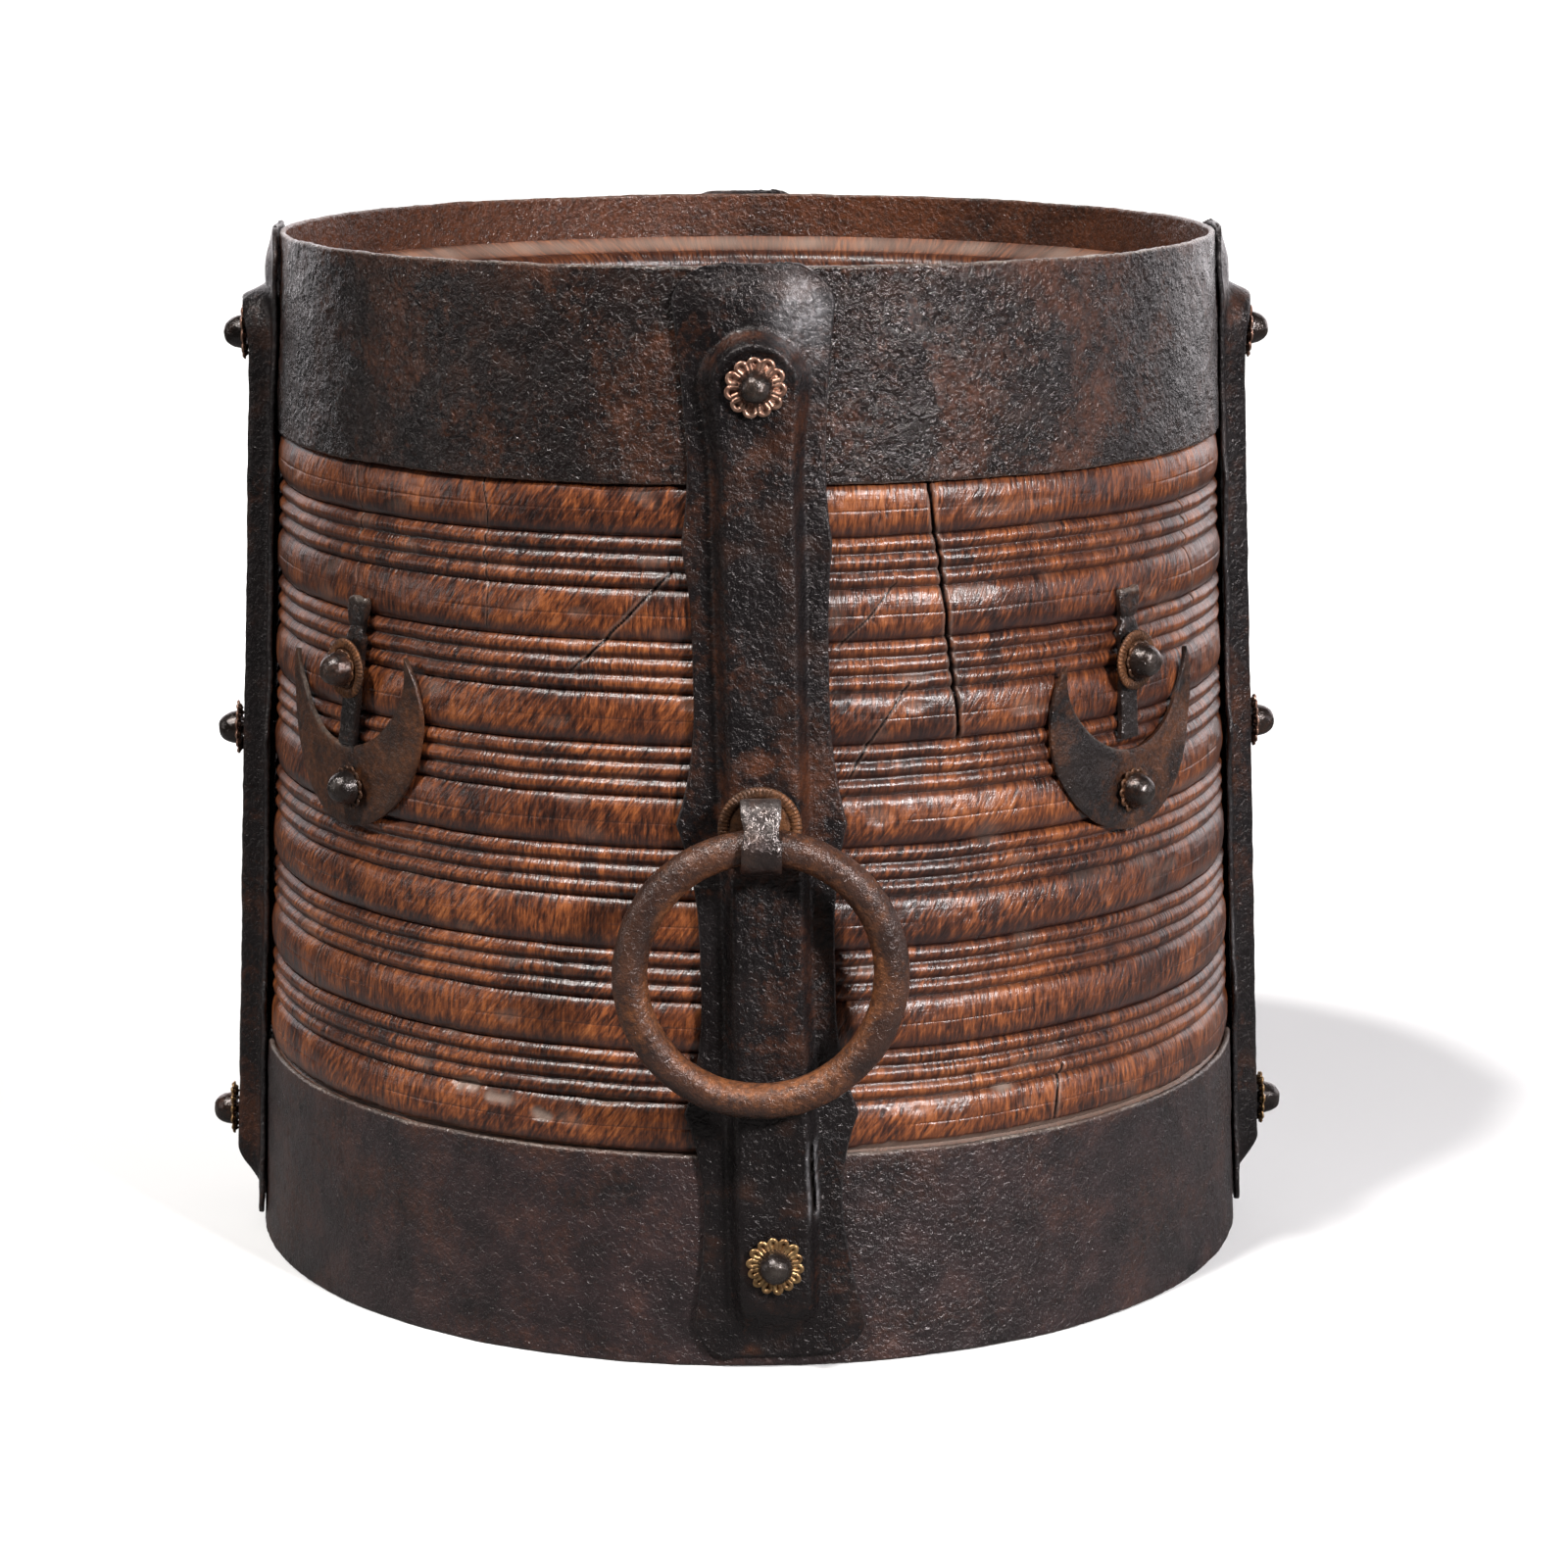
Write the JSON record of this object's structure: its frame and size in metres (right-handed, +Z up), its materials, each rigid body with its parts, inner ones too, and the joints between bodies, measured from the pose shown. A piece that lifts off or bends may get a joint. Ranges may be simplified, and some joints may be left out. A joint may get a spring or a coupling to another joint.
{
  "type": "iron-bound wooden measure",
  "caption": "Open-topped turned wooden drum bound with iron hoops and straps, with hanging ring handles and crescent plates; holds and measures grain.",
  "frame": {"origin": "centre of the base, on the floor", "axes": "+Z up along the drum's axis, -Y towards the front strap and its ring handle, +X to the right"},
  "size_m": [0.431, 0.4422, 0.3958],
  "materials": {
    "turned_wood": "waxed",
    "board_wood": "dull",
    "hoop_iron": "waxed",
    "strap_iron": "waxed",
    "plate_iron": "satin",
    "ring_iron": "satin",
    "eye_iron": "polished by wear",
    "washer_iron": "satin",
    "nail_iron": "waxed",
    "rosette_copper": "tarnished"
  },
  "bodies": {
    "drum": {"drum_wall": "turned_wood", "bottom_board": "board_wood", "rim_hoop": "hoop_iron", "base_hoop": "hoop_iron", "strap_front": "strap_iron", "strap_right": "strap_iron", "strap_back": "strap_iron", "strap_left": "strap_iron", "crescent_front_left": "plate_iron", "crescent_front_right": "plate_iron", "crescent_back_right": "plate_iron", "crescent_back_left": "plate_iron", "post_front_left": "plate_iron", "post_front_right": "plate_iron", "post_back_right": "plate_iron", "post_back_left": "plate_iron", "post_washers": "washer_iron", "eye_front": "eye_iron", "eye_back": "eye_iron", "eye_washer_front": "washer_iron", "eye_washer_back": "washer_iron", "eye_plate_front": "plate_iron", "eye_plate_back": "plate_iron", "nails_front": "nail_iron", "nails_right": "nail_iron", "nails_back": "nail_iron", "nails_left": "nail_iron", "rosettes_front": "rosette_copper", "rosettes_right": "rosette_copper", "rosettes_back": "rosette_copper", "rosettes_left": "rosette_copper", "crescent_nails": "nail_iron", "crescent_rosettes": "washer_iron", "post_nails": "nail_iron", "post_rosettes": "washer_iron"},
    "front_ring": {"ring_front": "ring_iron"},
    "back_ring": {"ring_back": "ring_iron"}
  },
  "joints": [
    {"name": "ring_front_swing", "type": "hinge", "parent": "drum", "child": "front_ring", "pos_m": [-0.002, -0.21108, 0.196], "axis": [-1, 0, 0], "range_deg": [0, 184]},
    {"name": "ring_back_swing", "type": "hinge", "parent": "drum", "child": "back_ring", "pos_m": [0.002, 0.21108, 0.196], "axis": [1, 0, 0], "range_deg": [0, 184]}
  ]
}
